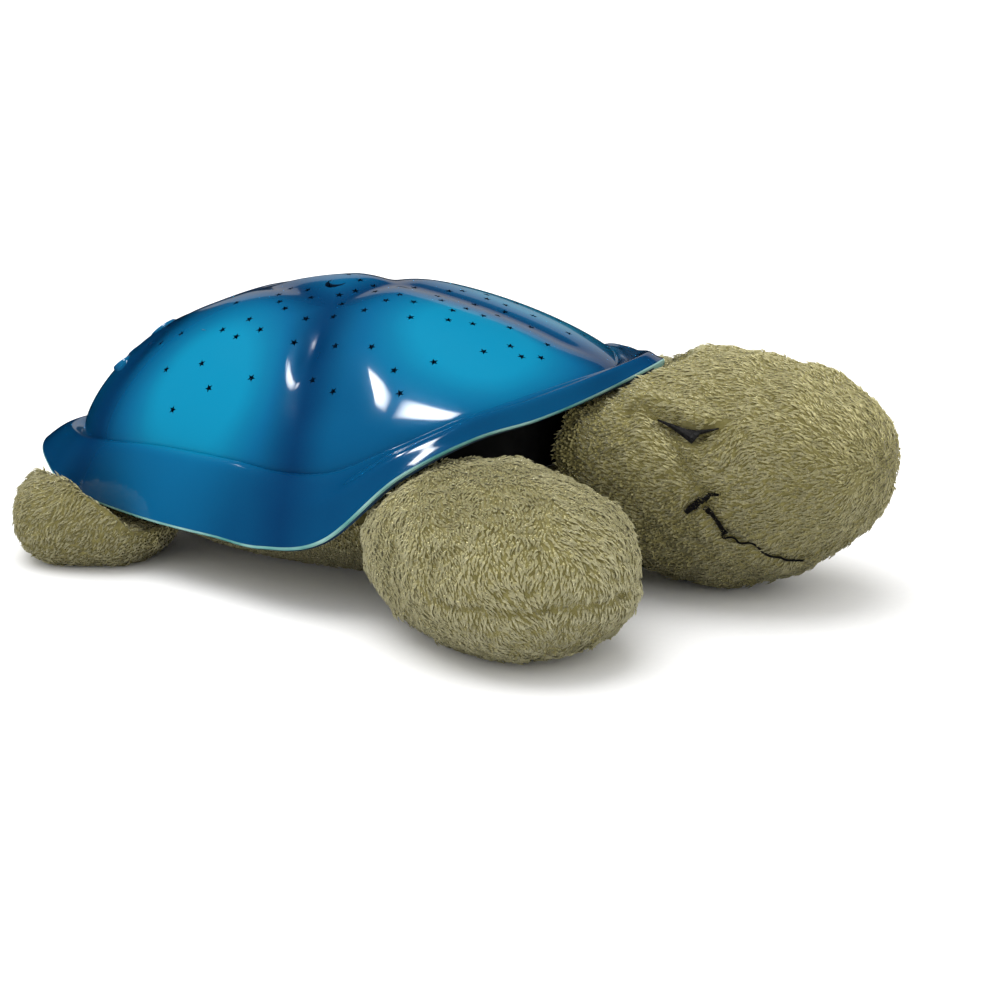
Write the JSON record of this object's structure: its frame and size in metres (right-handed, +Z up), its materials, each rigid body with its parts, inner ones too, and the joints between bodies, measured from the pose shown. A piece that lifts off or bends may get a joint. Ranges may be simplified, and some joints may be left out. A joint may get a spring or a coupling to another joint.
{
  "type": "star night light projector",
  "caption": "Sleeping plush turtle under a hard moulded shell pierced with stars and a moon; lamps inside throw a star pattern, buttons on the shell's back.",
  "frame": {"origin": "on the floor, in the middle between the nose and the tail lip", "axes": "+X to the head, +Y to the turtle's left, +Z up"},
  "size_m": [0.385, 0.3144, 0.1136],
  "materials": {
    "shell_plastic": "glossy moulded translucent plastic, airbrushed darker to its edges",
    "plush": "short-pile plush over soft stuffing",
    "belly_fabric": "flat woven backing cloth",
    "hook_and_loop": "hook-and-loop tape",
    "base_plastic": "fine-grained moulded plastic",
    "steel": "nickel-plated steel",
    "cells": "printed steel cell cans",
    "circuit_board": "solder-masked circuit board",
    "black_parts": "moulded black component bodies",
    "resistor_body": "lacquered component bodies",
    "amber_lens": "clear tinted lamp lens",
    "green_lens": "clear tinted lamp lens",
    "blue_lens": "clear tinted lamp lens",
    "power_cap": "smooth moulded cap",
    "amber_cap": "smooth moulded cap",
    "green_cap": "smooth moulded cap",
    "blue_cap": "smooth moulded cap",
    "wire_cover": "insulated stranded wire, in mixed colours"
  },
  "bodies": {
    "turtle": {"shell": "shell_plastic", "head_plush": "plush", "front_left_flipper": "plush", "front_right_flipper": "plush", "rear_left_flipper": "plush", "rear_right_flipper": "plush", "torso_plush": "plush", "belly_panel": "belly_fabric", "loop_strip": "hook_and_loop", "base_tray": "base_plastic", "light_baffle": "base_plastic", "batteries": "cells", "contact_springs": "steel", "contact_plates": "steel", "control_board": "circuit_board", "timer_chip": "black_parts", "board_capacitors": "black_parts", "board_resistors": "resistor_body", "lamp_pedestal": "base_plastic", "lamp_board": "circuit_board", "amber_lamp": "amber_lens", "green_lamp": "green_lens", "blue_lamp": "blue_lens", "button_board": "circuit_board", "tact_switches": "black_parts", "shell_screws": "steel", "board_screws": "steel", "battery_wires": "wire_cover", "lamp_wires": "wire_cover", "button_wires": "wire_cover"},
    "power_button_body": {"power_button": "power_cap"},
    "amber_button_body": {"amber_button": "amber_cap"},
    "green_button_body": {"green_button": "green_cap"},
    "blue_button_body": {"blue_button": "blue_cap"},
    "flap": {"belly_flap": "belly_fabric", "hook_strip": "hook_and_loop"},
    "door": {"battery_door": "base_plastic", "door_screw": "steel"}
  },
  "joints": [
    {"name": "power_press", "type": "slide", "parent": "turtle", "child": "power_button_body", "axis": [0.6292, 0, -0.7772], "range_m": [0, 0.0008], "stiffness_N_per_m": 250, "springref_m": -0.002},
    {"name": "amber_press", "type": "slide", "parent": "turtle", "child": "amber_button_body", "axis": [0.6292, 0, -0.7772], "range_m": [0, 0.0008], "stiffness_N_per_m": 250, "springref_m": -0.002},
    {"name": "green_press", "type": "slide", "parent": "turtle", "child": "green_button_body", "axis": [0.6292, 0, -0.7772], "range_m": [0, 0.0008], "stiffness_N_per_m": 250, "springref_m": -0.002},
    {"name": "blue_press", "type": "slide", "parent": "turtle", "child": "blue_button_body", "axis": [0.6292, 0, -0.7772], "range_m": [0, 0.0008], "stiffness_N_per_m": 250, "springref_m": -0.002},
    {"name": "flap_hinge", "type": "hinge", "parent": "turtle", "child": "flap", "pos_m": [-0.0155, 0, 0.0012], "axis": [0, -1, 0], "range_deg": [0, 100]},
    {"name": "door_lift", "type": "slide", "parent": "turtle", "child": "door", "axis": [0, 0, -1], "range_m": [0, 0.012]}
  ],
  "couplings": [
    {"joint": "door_lift", "follows": "flap_hinge", "m_per_rad": 0.0068755}
  ]
}
